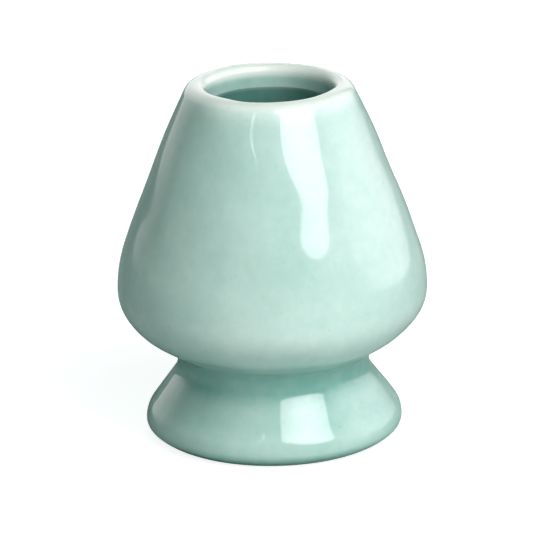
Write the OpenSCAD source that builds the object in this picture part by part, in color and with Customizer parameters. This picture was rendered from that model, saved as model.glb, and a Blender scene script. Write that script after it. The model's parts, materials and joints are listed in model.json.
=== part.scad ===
// Tea whisk holder in glazed ceramic: a hollow pear-shaped chamber with a round
// mouth, luted at a narrow waist to a flared foot. The whisk's outer tines lie
// over the cone and its inner tines hang through the mouth.
// Origin: centre of the foot ring's resting face. +Z is the axis, up. Millimetres.

/* [Overall] */
// Height from the resting face to the top of the rim
height = 73.7; // [68:0.1:92]
// Diameter across the widest part of the belly
belly_d = 63; // [54:0.5:76]
// Height of the widest part of the belly above the waist's narrowest part
belly_rise = 15.5; // [15:0.1:22]
// Diameter of the mouth's cylindrical neck
mouth_d = 26; // [20:0.1:32]

/* [Chamber curve] */
// Radius of the curve just above the widest part
belly_top_r = 28.5; // [22:0.5:36]
// Radius of the long, nearly straight cone above it
cone_r = 320; // [200:1:600]
// Radius of the curve below the widest part
belly_low_r = 9.5; // [7:0.1:11]
// Angle below level at which that curve opens out, in degrees
tuck_start = 28; // [15:1:45]
// Radius of the wider curve that follows, down to the straight underside
tuck_r = 12.8; // [10:0.1:13.5]

/* [Rim] */
// Radius of the rim's outer shoulder
shoulder_r = 3; // [2:0.1:4]
// Radius of the rim's inner lip
lip_r = 1.6; // [1:0.1:2.6]

/* [Waist and foot] */
// Diameter at the narrowest part of the waist
waist_d = 39.3; // [34:0.1:46]
// Height of the narrowest part of the waist
waist_h = 15.4; // [13:0.1:22]
// Radius of the hollow curve at the waist
waist_curve_r = 4.2; // [2.5:0.1:5]
// Diameter across the widest part of the foot
foot_d = 52.4; // [44:0.1:64]
// Height of the widest part of the foot
foot_h = 3.2; // [2.4:0.1:5]
// Radius of the curve above the foot's widest part
foot_top_r = 5.2; // [3:0.1:7]
// Radius of the tight curve below the foot's widest part
foot_edge_r = 2; // [1:0.1:3]

/* [Clay] */
// Thickness of the fired clay wall and chamber floor
wall_t = 4.3; // [3:0.1:5.4]
// Radius inside the chamber where wall meets floor
corner_r = 8; // [3:0.5:12]
// Thickness of the slip that joins chamber and foot
slip_t = 0.6; // [0.3:0.1:1.2]
// Width of the flat resting face of the foot ring
ring_w = 2.4; // [1.5:0.1:4]
// Thickness of clay left between the foot's recess and its top
crown_t = 4.4; // [3:0.1:6]

/* [Glaze] */
// Thickness of the glaze coats
glaze_t = 0.4; // [0.2:0.05:0.6]
// Angle below level at which the outer glaze is wiped off the foot, in degrees
wipe_turn = 66; // [55:1:75]
// Height up to which the recess is wiped clean of glaze
wipe_h = 1.6; // [1:0.1:3]

/* [Hidden] */

glaze_color = [0.69, 0.82, 0.77];
clay_color = [0.86, 0.83, 0.77];
slip_color = [0.80, 0.77, 0.71];

// Depth of the inner clay face and of the inner glazed face below the outside
clay_in = glaze_t + wall_t;
glaze_in = clay_in + glaze_t;

// Centres of the outline's curves, as [radius, height]
belly_h = waist_h + belly_rise;
belly_top_c = [belly_d / 2 - belly_top_r, belly_h];
belly_low_c = [belly_d / 2 - belly_low_r, belly_h];
tuck_c = belly_low_c + (belly_low_r - tuck_r) * dir(-tuck_start);
lip_c = [mouth_d / 2 + lip_r, height - lip_r];
shoulder_c = [mouth_d / 2 + lip_r, height - shoulder_r];
cone_c = inner_meet(belly_top_c, cone_r - belly_top_r, shoulder_c, cone_r - shoulder_r);
cone_low_turn = turn(belly_top_c - cone_c);
cone_top_turn = turn(shoulder_c - cone_c);
waist_c = [waist_d / 2 + waist_curve_r, waist_h];
foot_top_c = [foot_d / 2 - foot_top_r, foot_h];
foot_edge_c = [foot_d / 2 - foot_edge_r, foot_h];

// The belly's underside and the foot's flare are the straight lines that touch the waist's
// curve. These are the angles of their normals, in degrees above level
under_turn = tangent_turn(tuck_c, tuck_r, 1);
flare_turn = tangent_turn(foot_top_c, foot_top_r, -1);

// Below 45 degrees the foot rolls under on a wider curve, down to the resting face
edge_turn = 45;
roll_r = (foot_h + glaze_t - foot_edge_r * sin(edge_turn)) / (1 - sin(edge_turn));
roll_c = foot_edge_c + (foot_edge_r - roll_r) * dir(-edge_turn);

// The two clay pieces meet where the clay faces of underside and flare cross
joint_h = (cos(under_turn) * reach(foot_top_c, foot_top_r - glaze_t, flare_turn)
    - cos(flare_turn) * reach(tuck_c, tuck_r - glaze_t, under_turn))
    / sin(flare_turn - under_turn);
chamber_low_h = joint_h + slip_t / 2;
foot_top_h = joint_h - slip_t / 2;
recess_r = roll_c[0] - ring_w;
recess_h = foot_top_h - crown_t;

function turn(v) = atan2(v[1], v[0]);

function dir(a) = [cos(a), sin(a)];

// Distance from the origin, along its normal at angle a, of the line that touches circle c, r
function reach(c, r, a) = c * dir(a) + r;

// Normal's angle of the line between circle c, r and the waist's curve, with each on its own
// side of the line
function tangent_turn(c, r, side) =
    let (v = waist_c - c) turn(v) + side * acos((r + waist_curve_r) / norm(v));

// Centre on the inner side of two points, at distance da from a and db from b
function inner_meet(a, da, b, db) =
    let (d = norm(b - a), u = (b - a) / d, along = (da * da - db * db + d * d) / (2 * d))
    a + along * u + sqrt(da * da - along * along) * [-u[1], u[0]];

// Points on a curve about c from angle a0 to angle a1, in degrees above level
function arc(c, r, a0, a1) =
    let (sweep = abs(a1 - a0), n = ceil(max(sweep / 6, sweep * r / 150)))
    [for (i = [0 : n]) let (a = a0 + (a1 - a0) * i / n) c + r * [cos(a), sin(a)]];

function reversed(pts) = [for (i = [len(pts) - 1 : -1 : 0]) pts[i]];

// Radius at height h of the belly's underside and of the flare, off below their outside
function under_r(off, h) =
    (reach(tuck_c, tuck_r - off, under_turn) - h * sin(under_turn)) / cos(under_turn);
function flare_r(off, h) =
    (reach(foot_top_c, foot_top_r - off, flare_turn) - h * sin(flare_turn)) / cos(flare_turn);

// Chamber's outside, off below the glaze: from the rim's crest down to the straight underside
function chamber_outside(off) = concat(
    arc(shoulder_c, shoulder_r - off, 90, cone_top_turn),
    arc(cone_c, cone_r - off, cone_top_turn, cone_low_turn),
    arc(belly_top_c, belly_top_r - off, cone_low_turn, 0),
    arc(belly_low_c, belly_low_r - off, 0, -tuck_start),
    arc(tuck_c, tuck_r - off, -tuck_start, under_turn));

// Hollow curve at the waist, off below the glaze, downwards
function waist(off) =
    arc(waist_c, waist_curve_r + off, 180 + under_turn, 180 + flare_turn);

// Foot's outside, off below the glaze, down to where the outer glaze is wiped off
function foot_outside(off) = concat(
    arc(foot_top_c, foot_top_r - off, flare_turn, 0),
    arc(foot_edge_c, foot_edge_r - off, 0, -edge_turn),
    arc(roll_c, roll_r - off, -edge_turn, -wipe_turn));

// Chamber's inside, off below the outside of the glaze: from the crest down to the
// floor's centre. The neck is a cylinder that ends in a sharp edge below
function chamber_inside(off) =
    let (skin = glaze_in - off,
         neck_r = mouth_d / 2 + skin,
         neck_turn = acos((neck_r - cone_c[0]) / (cone_r - off)),
         floor_h = chamber_low_h + off - glaze_t,
         fillet_r = corner_r + skin,
         fillet_h = floor_h + fillet_r,
         fillet_c = [under_r(off + fillet_r, fillet_h), fillet_h])
    concat(
        arc(lip_c, lip_r - skin, 90, 180),
        arc(cone_c, cone_r - off, neck_turn, cone_low_turn),
        arc(belly_top_c, belly_top_r - off, cone_low_turn, 0),
        arc(belly_low_c, belly_low_r - off, 0, -tuck_start),
        arc(tuck_c, tuck_r - off, -tuck_start, under_turn),
        arc(fillet_c, fillet_r, under_turn, -90),
        [[0, floor_h]]);

// Recess under the foot, skin below its clay face: from height low up to the axis
function recess(skin, low) =
    let (r = recess_r - skin,
         top = recess_h - skin,
         off = clay_in + skin,
         bend_h = (flare_r(off, 0) - r) / tan(flare_turn))
    concat(
        [[r, low]],
        bend_h < top ? [[r, bend_h], [flare_r(off, top), top]] : [[r, top]],
        [[0, top]]);

module turned(pts) {
    rotate_extrude() polygon(pts);
}

// Pear-shaped hollow chamber, cut flat below where it sits on the foot
module chamber() {
    color(clay_color) turned(concat(
        reversed(chamber_inside(clay_in)),
        chamber_outside(glaze_t),
        [[under_r(glaze_t, chamber_low_h), chamber_low_h], [0, chamber_low_h]]));
}

// Flared foot with its ring and its recess
module foot() {
    color(clay_color) turned(concat(
        [[0, foot_top_h], [flare_r(glaze_t, foot_top_h), foot_top_h]],
        foot_outside(glaze_t),
        arc(roll_c, roll_r - glaze_t, -wipe_turn, -90),
        recess(0, 0)));
}

// Slip between the two, sponged into a hollow curve around the waist
module luting_slip() {
    color(slip_color) turned(concat(
        [[0, chamber_low_h], [under_r(glaze_t, chamber_low_h), chamber_low_h]],
        waist(glaze_t),
        [[flare_r(glaze_t, foot_top_h), foot_top_h], [0, foot_top_h]]));
}

// Outer glaze, from the rim's crest down to the wiped edge of the foot
module outer_glaze() {
    color(glaze_color) turned(concat(
        chamber_outside(0),
        waist(0),
        foot_outside(0),
        reversed(concat(
            chamber_outside(glaze_t),
            waist(glaze_t),
            foot_outside(glaze_t)))));
}

// Glaze inside the chamber, from the rim's crest down the neck and over the floor
module liner_glaze() {
    color(glaze_color) turned(concat(
        chamber_inside(glaze_in),
        reversed(chamber_inside(clay_in))));
}

// Glaze in the recess under the foot
module foot_glaze() {
    color(glaze_color) turned(concat(
        recess(glaze_t, wipe_h),
        reversed(recess(0, wipe_h))));
}

chamber();
foot();
luting_slip();
outer_glaze();
liner_glaze();
foot_glaze();
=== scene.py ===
import json
import math

import bpy
import numpy as np
from mathutils import Matrix, Vector

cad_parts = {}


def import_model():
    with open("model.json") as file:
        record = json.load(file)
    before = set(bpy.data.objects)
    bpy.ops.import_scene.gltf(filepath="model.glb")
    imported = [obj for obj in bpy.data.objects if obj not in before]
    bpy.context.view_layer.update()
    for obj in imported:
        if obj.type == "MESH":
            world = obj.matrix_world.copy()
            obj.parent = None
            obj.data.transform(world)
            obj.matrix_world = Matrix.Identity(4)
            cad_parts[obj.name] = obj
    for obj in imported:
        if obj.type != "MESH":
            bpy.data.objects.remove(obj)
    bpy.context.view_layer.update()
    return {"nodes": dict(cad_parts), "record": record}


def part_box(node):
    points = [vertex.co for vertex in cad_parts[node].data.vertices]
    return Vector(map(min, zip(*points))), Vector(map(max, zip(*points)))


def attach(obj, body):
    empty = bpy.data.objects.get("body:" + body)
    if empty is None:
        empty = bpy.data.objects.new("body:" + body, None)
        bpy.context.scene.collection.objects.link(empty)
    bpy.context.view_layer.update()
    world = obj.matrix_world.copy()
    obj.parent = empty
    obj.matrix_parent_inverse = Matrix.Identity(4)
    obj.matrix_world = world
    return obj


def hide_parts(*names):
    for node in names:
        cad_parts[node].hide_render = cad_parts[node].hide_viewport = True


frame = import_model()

# Sizes in metres and angles in degrees. The overall ones come from the frame and its record
MM = 0.001
BELLY_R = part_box("outer_glaze")[1][0]
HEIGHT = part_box("outer_glaze")[1][2]
FOOT_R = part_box("foot")[1][0]
CHAMBER_LOW_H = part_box("chamber")[0][2]
FOOT_TOP_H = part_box("foot")[1][2]
RECESS_TOP_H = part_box("foot_glaze")[1][2]
RECESS_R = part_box("foot_glaze")[1][0]
WIPE_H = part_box("foot_glaze")[0][2]
FLOOR_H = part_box("liner_glaze")[0][2]
MOUNTS = {mount["name"]: mount for mount in frame["record"]["mounts"]}
MOUTH_R = MOUNTS["mouth"]["dims"]["r_mm"] * MM
NECK_LOW_H = MOUNTS["mouth"]["pos_m"][2] - MOUNTS["mouth"]["dims"]["length_mm"] / 2 * MM

# The outline's curves, as on the clay and glaze of the frame
GLAZE = 0.4 * MM
WALL = FLOOR_H - CHAMBER_LOW_H
CLAY_IN = GLAZE + WALL
GLAZE_IN = CLAY_IN + GLAZE
BELLY_H = 30.9 * MM
BELLY_TOP_R = 28.5 * MM
CONE_R = 320 * MM
BELLY_LOW_R = 9.5 * MM
TUCK_START = 28
TUCK_R = 12.8 * MM
SHOULDER_R = 3 * MM
LIP_R = 1.6 * MM
WAIST_R = 19.65 * MM
WAIST_H = 15.4 * MM
WAIST_CURVE_R = 4.2 * MM
FOOT_H = 3.2 * MM
FOOT_TOP_R = 5.2 * MM
FOOT_EDGE_R = 2 * MM
EDGE_TURN = 45
WIPE_TURN = 66
CORNER_R = 8 * MM

# How finely a surface is made: columns round the axis, steps along its outline, the most that
# an arc turns in one step, in radians, and the steps of a bead
COLUMNS = 256
FINE = 0.5 * MM
COARSE = 1.6 * MM
MOST_TURN = 0.06
BEAD_STEPS = 8

rng = np.random.default_rng(11)


# ---------------------------------------------------------------- outline

def facing(angle):
    """Unit vector at an angle above level, as (radius, height)."""
    return np.array([math.cos(math.radians(angle)), math.sin(math.radians(angle))])


def angle_of(v):
    return math.degrees(math.atan2(v[1], v[0]))


def bend(centre, radius, start, end, step=FINE):
    """Arc: centre + radius * facing(a), with a going evenly from start to end."""
    sweep = abs(math.radians(end - start))
    count = max(int(math.ceil(max(sweep * radius / step, sweep / MOST_TURN))), 2)
    a = np.radians(np.linspace(start, end, count + 1))[:, None]
    return centre + radius * np.hstack([np.cos(a), np.sin(a)])


def straight(start, end, step=FINE):
    """Line from start to end, both left out: start + (end - start) * t."""
    start, end = np.asarray(start, float), np.asarray(end, float)
    count = max(int(math.ceil(np.linalg.norm(end - start) / step)), 1)
    t = np.linspace(0, 1, count + 1)[1:-1, None]
    return start + (end - start) * t


def inner_meet(a, da, b, db):
    """Point at distance da from a and db from b, on the axis side of both."""
    gap = np.linalg.norm(b - a)
    u = (b - a) / gap
    along = (da * da - db * db + gap * gap) / (2 * gap)
    return a + along * u + math.sqrt(da * da - along * along) * np.array([-u[1], u[0]])


def tangent_turn(centre, radius, side):
    """Normal's angle of the line between a circle and the waist's curve."""
    v = WAIST_C - centre
    lean = math.degrees(math.acos((radius + WAIST_CURVE_R) / np.linalg.norm(v)))
    return angle_of(v) + side * lean


BELLY_TOP_C = np.array([BELLY_R - BELLY_TOP_R, BELLY_H])
BELLY_LOW_C = np.array([BELLY_R - BELLY_LOW_R, BELLY_H])
TUCK_C = BELLY_LOW_C + (BELLY_LOW_R - TUCK_R) * facing(-TUCK_START)
LIP_C = np.array([MOUTH_R + LIP_R, HEIGHT - LIP_R])
SHOULDER_C = np.array([MOUTH_R + LIP_R, HEIGHT - SHOULDER_R])
CONE_C = inner_meet(BELLY_TOP_C, CONE_R - BELLY_TOP_R, SHOULDER_C, CONE_R - SHOULDER_R)
CONE_LOW_TURN = angle_of(BELLY_TOP_C - CONE_C)
CONE_TOP_TURN = angle_of(SHOULDER_C - CONE_C)
WAIST_C = np.array([WAIST_R + WAIST_CURVE_R, WAIST_H])
FOOT_OUT_R = FOOT_R + GLAZE
FOOT_TOP_C = np.array([FOOT_OUT_R - FOOT_TOP_R, FOOT_H])
FOOT_EDGE_C = np.array([FOOT_OUT_R - FOOT_EDGE_R, FOOT_H])
UNDER_TURN = tangent_turn(TUCK_C, TUCK_R, 1)
FLARE_TURN = tangent_turn(FOOT_TOP_C, FOOT_TOP_R, -1)
EDGE_SINE = math.sin(math.radians(EDGE_TURN))
ROLL_R = (FOOT_H + GLAZE - FOOT_EDGE_R * EDGE_SINE) / (1 - EDGE_SINE)
ROLL_C = FOOT_EDGE_C + (FOOT_EDGE_R - ROLL_R) * facing(-EDGE_TURN)


def line_r(centre, radius, turn, height):
    """Radius, at a height, of the line that touches a circle where its normal is at turn."""
    n = facing(turn)
    return (n @ centre + radius - height * n[1]) / n[0]


def joined(*runs):
    """Runs of points end to end, each point that repeats the one before it left out."""
    points = np.vstack(runs)
    keep = np.linalg.norm(np.diff(points, axis=0), axis=1) > 1e-7
    return points[np.concatenate([[True], keep])]


def outside(off, step=FINE):
    """Outside, off below the glaze: crest, cone, belly, underside, waist, flare and foot."""
    shoulder = bend(SHOULDER_C, SHOULDER_R - off, 90, CONE_TOP_TURN, step / 4)
    tuck = bend(TUCK_C, TUCK_R - off, -TUCK_START, UNDER_TURN, step)
    waist = bend(WAIST_C, WAIST_CURVE_R + off, 180 + UNDER_TURN, 180 + FLARE_TURN, step)
    foot_top = bend(FOOT_TOP_C, FOOT_TOP_R - off, FLARE_TURN, 0, step)
    return joined(
        shoulder,
        bend(CONE_C, CONE_R - off, CONE_TOP_TURN, CONE_LOW_TURN, step),
        bend(BELLY_TOP_C, BELLY_TOP_R - off, CONE_LOW_TURN, 0, step),
        bend(BELLY_LOW_C, BELLY_LOW_R - off, 0, -TUCK_START, step),
        tuck, straight(tuck[-1], waist[0], step),
        waist, straight(waist[-1], foot_top[0], step),
        foot_top,
        bend(FOOT_EDGE_C, FOOT_EDGE_R - off, 0, -EDGE_TURN, step),
        bend(ROLL_C, ROLL_R - off, -EDGE_TURN, -WIPE_TURN, step))


def inside(off, step=FINE):
    """Chamber's inside: crest, lip, cylindrical neck, its sharp edge, cone, belly and floor."""
    skin = GLAZE_IN - off
    neck_turn = math.degrees(math.acos((MOUTH_R + skin - CONE_C[0]) / (CONE_R - off)))
    fillet_r = CORNER_R + skin
    fillet_h = FLOOR_H + off - CLAY_IN + fillet_r
    fillet_c = np.array([line_r(TUCK_C, TUCK_R - off - fillet_r, UNDER_TURN, fillet_h), fillet_h])
    lip = bend(LIP_C, LIP_R - skin, 90, 180, step / 4)
    cone = bend(CONE_C, CONE_R - off, neck_turn, CONE_LOW_TURN, 2 * step)
    tuck = bend(TUCK_C, TUCK_R - off, -TUCK_START, UNDER_TURN, 2 * step)
    fillet = bend(fillet_c, fillet_r, UNDER_TURN, -90, 2 * step)
    middle = [0, fillet_h - fillet_r]
    return joined(
        lip, straight(lip[-1], cone[0], step),
        cone,
        bend(BELLY_TOP_C, BELLY_TOP_R - off, CONE_LOW_TURN, 0, 2 * step),
        bend(BELLY_LOW_C, BELLY_LOW_R - off, 0, -TUCK_START, 2 * step),
        tuck, straight(tuck[-1], fillet[0], 2 * step),
        fillet, straight(fillet[-1], middle, 3 * step),
        [middle])


def recess(skin, low, step):
    """Recess under the foot, skin below its clay face, from height low up to the axis."""
    r, top = RECESS_R - skin, RECESS_TOP_H - skin
    reach = FOOT_TOP_R - CLAY_IN - skin
    bend_h = (line_r(FOOT_TOP_C, reach, FLARE_TURN, 0) - r) / math.tan(math.radians(FLARE_TURN))
    bend_at, corner = [r, bend_h], [line_r(FOOT_TOP_C, reach, FLARE_TURN, top), top]
    return joined(
        [[r, low]], straight([r, low], bend_at, step),
        [bend_at], straight(bend_at, corner, step),
        [corner], straight(corner, [0, top], 2 * step),
        [[0, top]])


def bead(first, last):
    """Half circle from first to last, bulging to the right: the round edge where glaze ends."""
    first, last = np.asarray(first, float), np.asarray(last, float)
    half = (first - last) / 2
    a = np.linspace(0, math.pi, BEAD_STEPS + 1)[1:-1, None]
    return (first + last) / 2 + half * np.cos(a) + np.array([half[1], -half[0]]) * np.sin(a)


# ---------------------------------------------------------------- mesh

# Waves of the hand-dipped surface: how many there are, each one's whole turns round the axis,
# how fast its phase rises with height, in radians per metre, and where that starts; then their
# size and the radius inside which they calm
WAVES = 9
FEWEST_TURNS = 2
LEAST_RISE, MOST_RISE = 150, 480
wave_turns = np.arange(FEWEST_TURNS, FEWEST_TURNS + WAVES)
wave_rise = rng.uniform(LEAST_RISE, MOST_RISE, WAVES) * rng.choice([-1, 1], WAVES)
wave_phase = rng.uniform(0, 2 * math.pi, WAVES)
WAVE_SIZE = 0.16 * MM
CALM_R = 6 * MM

# Glaze pools, and painted shade darkens the waist crease, over a stretch of SPREAD where the
# outline bends in with a radius near POOL_AND_SHADE_LENGTH, and an edge that turns by more than
# SHARP_TURN looks crisp
SPREAD = 1.3 * MM
POOL_AND_SHADE_LENGTH = 3 * MM
SHARP_TURN = 14


def hand_wave(angle, height, radius):
    """Unevenness of the hand-dipped surface: the sum of sin(m * angle + k * height + p) / m
    over a few whole numbers m, calm near the axis."""
    phase = angle[..., None] * wave_turns + height[..., None] * wave_rise + wave_phase
    calm = radius ** 2 / (radius ** 2 + CALM_R ** 2)
    return WAVE_SIZE * calm * (np.sin(phase) / wave_turns).sum(axis=-1)


def outline_frame(points, closed):
    """Outward normal and bend of an outline: the normal is its direction turned right, and the
    bend is its turning per length, evened out over SPREAD. Hollow curves are positive."""
    before, after = points[-1], points[0]
    if not closed:
        before, after = 2 * points[0] - points[1], 2 * points[-1] - points[-2]
    around = np.vstack([before, points, after])
    steps = np.diff(around, axis=0)
    lengths = np.linalg.norm(steps, axis=1)
    units = steps / lengths[:, None]
    along = units[:-1] + units[1:]
    along /= np.linalg.norm(along, axis=1)[:, None]
    turning = np.cross(units[1:], units[:-1])
    share = (lengths[:-1] + lengths[1:]) / 2
    place = np.cumsum(share)
    near = np.exp(-0.5 * ((place[:, None] - place[None]) / SPREAD) ** 2)
    hollow = near @ turning / (near @ share)
    return np.stack([along[:, 1], -along[:, 0]], axis=1), hollow


def ring_faces(index):
    """Quads of a closed outline's grid, whose last row joins its first."""
    below = np.roll(index, -1, axis=0)
    quads = np.stack([index, np.roll(index, -1, 1), np.roll(below, -1, 1), below], -1)
    return quads.reshape(-1, 4).tolist()


def capped_faces(index):
    """Quads of an open outline's grid, and a fan at each end, where a row is one point."""
    inner = index[1:-1] - COLUMNS + 1
    here, below = inner[:-1], inner[1:]
    quads = np.stack([here, np.roll(here, -1, 1), np.roll(below, -1, 1), below], -1)
    last = inner.size + 1
    first_fan = np.stack([0 * inner[0], np.roll(inner[0], -1), inner[0]], -1)
    last_fan = np.stack([inner[-1], np.roll(inner[-1], -1), 0 * inner[-1] + last], -1)
    return quads.reshape(-1, 4).tolist() + first_fan.tolist() + last_fan.tolist()


def revolve(name, points, waved, inside_shade=None, closed=False):
    """Outline carried round the axis: point (i, j) is outline point i, moved out along its
    normal by hand_wave where waved, and turned by j / COLUMNS of a circle. A closed outline
    gives a ring; an open one starts and ends on the axis. The attribute "pooled" is
    tanh(bend * POOL_AND_SHADE_LENGTH + inside_shade), above 0 where the glaze pools thick in
    hollows, with painted shade in the waist crease, and where inside_shade adds painted shade."""
    ring = points if closed else np.vstack([points, points[:1]])
    area = np.sum(ring[:-1, 0] * ring[1:, 1] - ring[1:, 0] * ring[:-1, 1])
    if area < 0:
        points, waved = points[::-1], waved[::-1]
        inside_shade = None if inside_shade is None else inside_shade[::-1]
    normals, hollow = outline_frame(points, closed)
    # What the liner passes in here is painted shade inside the mouth
    hollow = hollow * POOL_AND_SHADE_LENGTH + (0 if inside_shade is None else inside_shade)
    angle = np.linspace(0, 2 * math.pi, COLUMNS, endpoint=False)
    radius = points[:, 0, None] + 0 * angle
    height = points[:, 1, None] + 0 * angle
    out = hand_wave(angle + 0 * radius, height, radius) * waved[:, None]
    radius = radius + normals[:, 0, None] * out
    height = height + normals[:, 1, None] * out
    places = np.stack([radius * np.cos(angle), radius * np.sin(angle), height], axis=-1)

    index = np.arange(len(points) * COLUMNS).reshape(-1, COLUMNS)
    if closed:
        faces = ring_faces(index)
        verts, pooled = places.reshape(-1, 3), np.repeat(hollow, COLUMNS)
    else:
        faces = capped_faces(index)
        first, last = [0, 0, points[0, 1]], [0, 0, points[-1, 1]]
        verts = np.vstack([first, places[1:-1].reshape(-1, 3), last])
        pooled = np.concatenate([hollow[:1], np.repeat(hollow[1:-1], COLUMNS), hollow[-1:]])

    mesh = bpy.data.meshes.new(name)
    mesh.from_pydata(verts.tolist(), [], faces)
    mesh.attributes.new("pooled", "FLOAT", "POINT").data.foreach_set(
        "value", np.tanh(pooled).astype(np.float32))
    mesh.polygons.foreach_set("use_smooth", np.ones(len(mesh.polygons), bool))
    mesh.set_sharp_from_angle(angle=math.radians(SHARP_TURN))
    mesh.update()
    piece = bpy.data.objects.new(name, mesh)
    bpy.context.scene.collection.objects.link(piece)
    return piece


# ---------------------------------------------------------------- pieces

# How much painted shade deepens the liner's colour on the neck, and again below it; the height
# over which that starts under the lip; and the height over which the waves settle above the wiped
# edge
NECK_SHADE = 0.7
LINER_SHADE = 1.3
LIP_FADE = 1 * MM
SETTLE_H = 9 * MM


def outer_coat():
    """Outer glaze: the outside, a bead where it was wiped off, and back up along the clay."""
    glazed, clay = outside(0), outside(GLAZE, COARSE)[::-1]
    edge = bead(clay[0], glazed[-1])[::-1]
    points = np.vstack([glazed, edge, clay])
    waved = np.concatenate([np.ones(len(glazed)), np.zeros(len(edge) + len(clay))])
    waved *= np.clip((points[:, 1] - glazed[-1, 1]) / SETTLE_H, 0, 1)
    return revolve("outer_glaze_coat", points, waved, closed=True)


def liner_coat():
    """Liner glaze: up the clay from the floor's centre, over the crest and back down."""
    clay, glazed = inside(CLAY_IN, COARSE)[::-1], inside(GLAZE_IN)
    points = np.vstack([clay, glazed])
    waved = np.concatenate([np.zeros(len(clay)), np.ones(len(glazed))])
    below_lip = np.clip((HEIGHT - LIP_R - points[:, 1]) / LIP_FADE, 0, 1)
    # Painted shade inside the mouth: the liner's colour is deepened on the neck and more below it
    inside_shade = NECK_SHADE * below_lip + LINER_SHADE * (points[:, 1] < NECK_LOW_H - FINE / 2)
    return revolve("liner_glaze_coat", points, waved, inside_shade)


def recess_coat():
    """Glaze in the foot's recess, with a bead at its wiped lower edge."""
    clay, glazed = recess(0, WIPE_H, COARSE)[::-1], recess(GLAZE, WIPE_H, 2 * FINE)
    points = np.vstack([clay, bead(clay[-1], glazed[0])[::-1], glazed])
    return revolve("foot_glaze_coat", points, np.zeros(len(points)))


def foot_body():
    """Clay foot: flat top, outside under the glaze, bare roll, resting ring and recess."""
    out = outside(GLAZE, 2 * FINE)
    out = out[out[:, 1] < FOOT_TOP_H]
    top_r = line_r(FOOT_TOP_C, FOOT_TOP_R - GLAZE, FLARE_TURN, FOOT_TOP_H)
    out = out[out[:, 0] > top_r]
    roll = bend(ROLL_C, ROLL_R - GLAZE, -WIPE_TURN, -90, FINE)
    points = joined(
        [[0, FOOT_TOP_H], [top_r, FOOT_TOP_H]],
        out, roll, straight(roll[-1], [RECESS_R, 0], FINE),
        recess(0, 0, FINE))
    return revolve("foot_clay", points, np.zeros(len(points)))


# ---------------------------------------------------------------- finishes

class Num:
    """A number socket. Each Python operation on it adds one Math node."""

    def __init__(self, finish, socket):
        self.finish, self.socket = finish, socket

    def _math(self, operation, a, b=0.0):
        return self.finish.node("ShaderNodeMath", {"operation": operation}, {0: a, 1: b})[0]

    def __add__(self, other):
        return self._math("ADD", self, other)

    def __sub__(self, other):
        return self._math("SUBTRACT", self, other)

    def __rsub__(self, other):
        return self._math("SUBTRACT", other, self)

    def __mul__(self, other):
        return self._math("MULTIPLY", self, other)

    def clamped(self):
        return self._math("MINIMUM", self._math("MAXIMUM", self, 0.0), 1.0)

    __radd__ = __add__
    __rmul__ = __mul__


class Finish:
    """The node tree of a new material, or of the world that is given."""

    def __init__(self, name, owner=None):
        self.material = owner or bpy.data.materials.new(name)
        self.material.use_nodes = True
        self.tree = self.material.node_tree
        self.tree.nodes.clear()

    def node(self, kind, settings=None, values=None):
        """Adds a node: its settings first, then the values or links of its sockets. Returns
        its enabled outputs, each as a Num."""
        made = self.tree.nodes.new(kind)
        for key, value in (settings or {}).items():
            if key == "stops":
                self._stops(made.color_ramp, value)
            else:
                setattr(made, key, value)
        for key, value in (values or {}).items():
            if isinstance(value, Num):
                self.tree.links.new(value.socket, made.inputs[key])
            else:
                made.inputs[key].default_value = value
        return [Num(self, s) for s in made.outputs if s.enabled]

    @staticmethod
    def _stops(ramp, stops):
        while len(ramp.elements) < len(stops):
            ramp.elements.new(1.0)
        for element, (position, value) in zip(ramp.elements, stops):
            element.position = position
            element.color = (value, value, value, 1)

    def place(self, stretch=(1, 1, 1)):
        """Object coordinates, stretched."""
        where = self.node("ShaderNodeTexCoord")[3]
        return self.node("ShaderNodeMapping", None, {"Vector": where, "Scale": stretch})[0]

    def noise(self, scale, detail=3, roughness=0.5, where=None):
        values = {"Vector": where or self.place(), "Scale": scale, "Detail": detail}
        values["Roughness"] = roughness
        return self.node("ShaderNodeTexNoise", None, values)[0]

    def ramp(self, value, *stops):
        """A number through a ramp of (position, value) stops."""
        return self.node("ShaderNodeValToRGB", {"stops": stops}, {"Fac": value})[0]

    def mix(self, share, low, high):
        """Colour from low to high by share."""
        settings = {"data_type": "RGBA"}
        return self.node("ShaderNodeMix", settings, {0: share, 6: low, 7: high})[0]

    def surface(self, colour, roughness, bump, height, distance, fixed):
        """Closes the tree with a Principled shader, bumped by height over distance."""
        normal = self.node("ShaderNodeBump", None, {
            "Height": height, "Strength": bump, "Distance": distance})[0]
        shader = self.node("ShaderNodeBsdfPrincipled", None, {
            "Base Color": colour, "Roughness": roughness, "Normal": normal, **fixed})[0]
        self.node("ShaderNodeOutputMaterial", None, {"Surface": shader})
        return self.material


# The glaze's colour at depths 0 and 1 and where it thins below THIN_DEPTH, and its specks
PALE_GLAZE = (0.65, 0.79, 0.735, 1)
DEEP_GLAZE = (0.14, 0.38, 0.32, 1)
THIN_GLAZE = (0.70, 0.79, 0.735, 1)
SPECK = (0.16, 0.20, 0.15, 1)
SPECK_SHARE = 0.12
GLAZE_IOR = 1.62

# The glaze's depth on an even wall, and what is added to it: pooling in hollows, which also
# paints shade in the waist crease and inside the mouth; a deepening towards the bottom; painted
# shade near the floor; clouds and mottling. The deepening and the painted shade near the floor
# start below these heights
BODY_DEPTH = 0.42
POOL_AND_SHADE_DEPTH = 0.6
DEEPEN_H, DEEPEN_DEPTH = 18 * MM, 0.35
FLOOR_SHADE_H, FLOOR_SHADE_DEPTH = 7 * MM, 0.5
CLOUD_DEPTH = 0.5
MOTTLE_DEPTH = 0.22
THIN_DEPTH = 0.12
THIN_GAIN = 5

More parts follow.
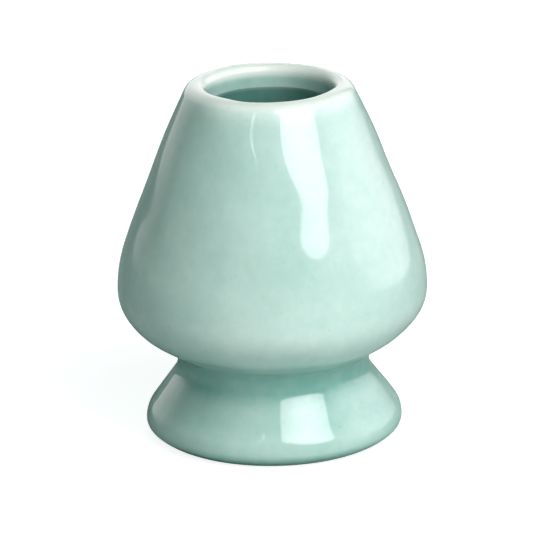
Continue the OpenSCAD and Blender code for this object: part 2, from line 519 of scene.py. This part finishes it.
# The bare clay and the slip, and the scale of the grit in each
CLAY_LIGHT = (0.72, 0.66, 0.56, 1)
CLAY_DARK = (0.52, 0.46, 0.37, 1)
SLIP_LIGHT = (0.60, 0.54, 0.45, 1)
SLIP_DARK = (0.42, 0.36, 0.29, 1)
GRAIN = (0.20, 0.15, 0.11, 1)
CLAY_IOR = 1.5
CLAY_GRIT = 1500
SLIP_GRIT = 2600


def celadon(name):
    """Glossy celadon: deeper where it pools in hollows, with painted shade in the waist crease
    and inside the mouth, deeper towards the bottom, with painted shade near the floor, paler
    where it thins over edges, with soft clouds, fine mottling, a few tiny dark specks and a
    faintly uneven skin."""
    f = Finish(name)
    # Painted shade: the pooling attribute deepens the colour in hollows, partly as real pooled
    # glaze and partly as painted shade in the waist crease, and it also holds painted shade
    # inside the mouth
    pooled = f.node("ShaderNodeAttribute", {"attribute_name": "pooled"})[2]
    clouds = f.noise(55, 4, 0.55, f.place((1, 1, 0.55))) - 0.5
    mottle = f.noise(420, 3, 0.6) - 0.5
    height = f.node("ShaderNodeSeparateXYZ", None, {0: f.place()})[2]
    # Deeper colour towards the bottom, growing below the first of these heights
    deepen = (1 - height * (1 / DEEPEN_H)).clamped()
    # Painted shade near the floor: the colour deepens over the lowest few millimetres
    floor_shade = (1 - height * (1 / FLOOR_SHADE_H)).clamped()
    depth_and_shade = BODY_DEPTH + pooled * POOL_AND_SHADE_DEPTH + deepen * DEEPEN_DEPTH + floor_shade * FLOOR_SHADE_DEPTH
    depth_and_shade = depth_and_shade + clouds * CLOUD_DEPTH + mottle * MOTTLE_DEPTH
    thin = ((THIN_DEPTH - depth_and_shade) * THIN_GAIN).clamped()
    glaze = f.mix(thin, f.mix(depth_and_shade, PALE_GLAZE, DEEP_GLAZE), THIN_GLAZE)
    specks = f.ramp(f.noise(900, 1, 0.4), (0.0, 0.0), (0.73, 0.0), (0.78, 1.0))
    colour = f.mix(specks * SPECK_SHARE, glaze, SPECK)
    roughness = 0.045 + f.noise(160, 3) * 0.05
    skin = f.noise(240, 2, 0.5) + f.noise(90, 2, 0.5) * 1.6
    return f.surface(colour, roughness, 0.16, skin, 0.12 * MM, {"IOR": GLAZE_IOR})


def clay(name, light, dark, grain):
    """Fired clay: matte, with fine grit, a few darker grains and a softly mottled tone."""
    f = Finish(name)
    tone = f.noise(130, 5, 0.6)
    grit = f.noise(grain, 4, 0.65)
    grains = f.ramp(f.noise(grain * 0.6, 2, 0.5), (0.0, 0.0), (0.66, 0.0), (0.74, 1.0))
    body = f.mix((tone * 0.8 + (grit - 0.5) * 0.5).clamped(), light, dark)
    colour = f.mix(grains * 0.35, body, GRAIN)
    roughness = 0.72 + grit * 0.2
    return f.surface(colour, roughness, 0.5, grit + grains * 0.4, 0.08 * MM, {"IOR": CLAY_IOR})


glaze_finish = celadon("celadon_glaze")
clay_finish = clay("bare_clay", CLAY_LIGHT, CLAY_DARK, CLAY_GRIT)
slip_finish = clay("joining_slip", SLIP_LIGHT, SLIP_DARK, SLIP_GRIT)


def place_piece(piece, node, finish):
    """A new piece rides on the one body and stands for its node."""
    piece.data.materials.append(finish)
    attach(piece, "root")
    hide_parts(node)


place_piece(outer_coat(), "outer_glaze", glaze_finish)
place_piece(liner_coat(), "liner_glaze", glaze_finish)
place_piece(recess_coat(), "foot_glaze", glaze_finish)
place_piece(foot_body(), "foot", clay_finish)
for node, finish in (("chamber", clay_finish), ("luting_slip", slip_finish)):
    for slot in frame["nodes"][node].material_slots:
        slot.material = finish


# ---------------------------------------------------------------- studio

WHITE = (1, 1, 1, 1)
AIM = Vector((0, 0, 0.503 * HEIGHT))
FLOOR_HALF = 3.0
FLOOR_GLOW = 0.85
FLOOR_COLOUR = (0.38, 0.48, 0.46, 1)
DIM_GREEN = (0.04, 0.09, 0.075, 1)
LEAN_START = 0.1
STRIP_STEPS = 24


def around(azimuth, elevation, distance):
    """Place seen from AIM at an azimuth, right of the front, and an elevation."""
    a, e = math.radians(azimuth), math.radians(elevation)
    level = math.cos(e)
    return AIM + distance * Vector((math.sin(a) * level, -math.cos(a) * level, math.sin(e)))


def glowing(name, colour, edge, core):
    """Light whose strength goes from edge to core with the lamp's attribute "core"."""
    f = Finish(name)
    strength = edge + (core - edge) * f.node("ShaderNodeAttribute", {"attribute_name": "core"})[2]
    shader = f.node("ShaderNodeEmission", None, {"Color": colour, "Strength": strength})[0]
    f.node("ShaderNodeOutputMaterial", None, {"Surface": shader})
    return f.material


def stage_mesh(name, verts, faces, material):
    """A mesh of the studio, which isn't part of the object."""
    mesh = bpy.data.meshes.new(name)
    mesh.from_pydata(verts, [], faces)
    mesh.materials.append(material)
    made = bpy.data.objects.new(name, mesh)
    bpy.context.scene.collection.objects.link(made)
    return made


def strip(name, azimuths, elevations, distance, width, strength):
    """Thin bowed strip light: a ribbon of the given width through places around AIM, its
    azimuth going evenly through azimuths and its elevation through elevations."""
    t = np.linspace(0, 1, STRIP_STEPS + 1)
    azimuth = np.interp(t, np.linspace(0, 1, len(azimuths)), azimuths)
    elevation = np.interp(t, [0, 1], elevations)
    verts = []
    for a, e in zip(azimuth, elevation):
        for side in (-0.5, 0.5):
            spread = math.degrees(side * width / distance)
            verts.append(around(a + spread / math.cos(math.radians(e)), e, distance))
    faces = [(2 * i, 2 * i + 1, 2 * i + 3, 2 * i + 2) for i in range(len(t) - 1)]
    made = stage_mesh(name, verts, faces, glowing(name, WHITE, strength, strength))
    made.visible_camera = False
    made.visible_diffuse = False
    made.visible_shadow = False


def softbox(name, place, half, radiance, corner, tint=WHITE, lean=0):
    """Softbox with rounded corners: superellipse |x/w|^c + |y/h|^c = 1, facing AIM, whose foot
    leans right, from no shift at y = LEAN_START * h to lean * w at the bottom. Its radiance is
    edge + (core - edge) * (1 - s^2)^2, with s going from 0 in the middle to 1 at its edge."""
    rings, spokes = 12, 64
    (half_w, half_h), (edge, core) = half, radiance
    centre = around(*place)
    turn = (AIM - centre).to_track_quat("-Z", "Y").to_matrix()
    a = np.linspace(0, 2 * math.pi, spokes, endpoint=False)
    reach = (np.abs(np.cos(a)) ** corner + np.abs(np.sin(a)) ** corner) ** (-1 / corner)
    verts = [centre.copy()]
    for ring in range(1, rings + 1):
        share = ring / rings
        x, y = share * reach * np.cos(a), share * reach * np.sin(a)
        x = x + lean * np.clip((LEAN_START - y) / (1 + LEAN_START), 0, 1)
        verts += [centre + turn @ Vector((half_w * u, half_h * v, 0)) for u, v in zip(x, y)]
    faces = [(0, 1 + i, 1 + (i + 1) % spokes) for i in range(spokes)]
    for ring in range(rings - 1):
        low, high = 1 + ring * spokes, 1 + (ring + 1) * spokes
        faces += [(low + i, high + i, high + (i + 1) % spokes, low + (i + 1) % spokes)
                  for i in range(spokes)]
    made = stage_mesh(name, verts, faces, glowing(name, tint, edge, core))
    share = np.concatenate([[0], np.repeat(np.arange(1, rings + 1) / rings, spokes)])
    made.data.attributes.new("core", "FLOAT", "POINT").data.foreach_set(
        "value", ((1 - share ** 2) ** 2).astype(np.float32))
    made.visible_camera = False
    return made


def floor():
    """Plain matte floor that also glows evenly to the camera, so that it looks pale and the
    shadow on it stays faint."""
    corners = [(-1, -1), (1, -1), (1, 1), (-1, 1)]
    verts = [(x * FLOOR_HALF, y * FLOOR_HALF, 0) for x, y in corners]
    f = Finish("pale_floor")
    seen = f.node("ShaderNodeLightPath")[0]
    matte = f.node("ShaderNodeBsdfDiffuse", None, {"Color": FLOOR_COLOUR})[0]
    lit = f.node("ShaderNodeEmission", None, {"Color": WHITE, "Strength": seen * FLOOR_GLOW})[0]
    shader = f.node("ShaderNodeAddShader", None, {0: matte, 1: lit})[0]
    f.node("ShaderNodeOutputMaterial", None, {"Surface": shader})
    stage_mesh("floor", verts, [(0, 1, 2, 3)], f.material)


def world():
    """Dim surroundings that only look white where nothing stands in front of them."""
    made = bpy.data.worlds.new("studio")
    bpy.context.scene.world = made
    f = Finish("studio", made)
    seen = f.node("ShaderNodeLightPath")[0]
    shade = f.mix(seen, DIM_GREEN, WHITE)
    background = f.node("ShaderNodeBackground", None, {"Color": shade})[0]
    f.node("ShaderNodeOutputWorld", None, {"Surface": background})


def camera():
    """Long lens a little above the object, turned slightly about its view and moved in its own
    plane, so that the object stands right of and above the middle of a view view_w wide."""
    distance, elevation, roll = 926 * MM, 17.93, 0.91
    view_w, target_h = 108.4 * MM, 37.06 * MM
    right, up = 1.098 * MM, 2.115 * MM
    data = bpy.data.cameras.new("camera")
    data.sensor_width = 36
    data.lens = data.sensor_width * distance / view_w
    data.clip_start, data.clip_end = 0.01, 20
    made = bpy.data.objects.new("camera", data)
    turn = Matrix.Rotation(math.radians(90 - elevation), 3, "X")
    turn = turn @ Matrix.Rotation(-math.radians(roll), 3, "Z")
    made.location = Vector((0, 0, target_h)) - turn @ Vector((right, up, -distance))
    made.rotation_euler = turn.to_euler()
    bpy.context.scene.collection.objects.link(made)
    bpy.context.scene.camera = made


floor()
world()
camera()

# Each softbox: its azimuth, elevation and distance, its half width and height, its radiance at
# the edge and core, and how square its corners are
softbox("key_softbox", (37, 44, 0.75), (0.28, 0.33), (4.6, 7.6), 2.4, (1, 0.97, 0.98, 1), 0.25)
right_wall = softbox("right_wall", (108, 16, 0.9), (1.1, 0.85), (0, 2.2), 2, (1, 0.96, 0.99, 1))
right_wall.visible_diffuse = False
softbox("back_wall", (-168, 14, 1.2), (1.9, 1.0), (0, 1.6), 2)
right_fill = softbox("right_fill", (50, 11, 0.9), (0.6, 0.14), (3.2, 3.2), 6, (1, 0.93, 0.95, 1))
right_fill.visible_glossy = False
front_fill = softbox("front_fill", (14, 25, 0.9), (0.6, 0.3), (2.0, 2.0), 6, (1, 0.97, 0.97, 1))
front_fill.visible_glossy = False
strip("thin_strip", (-15, -24, -22, -14), (30.7, 47.5), 0.7, 12 * MM, 8)

view = bpy.context.scene.view_settings
view.view_transform = "Standard"
view.look = "None"
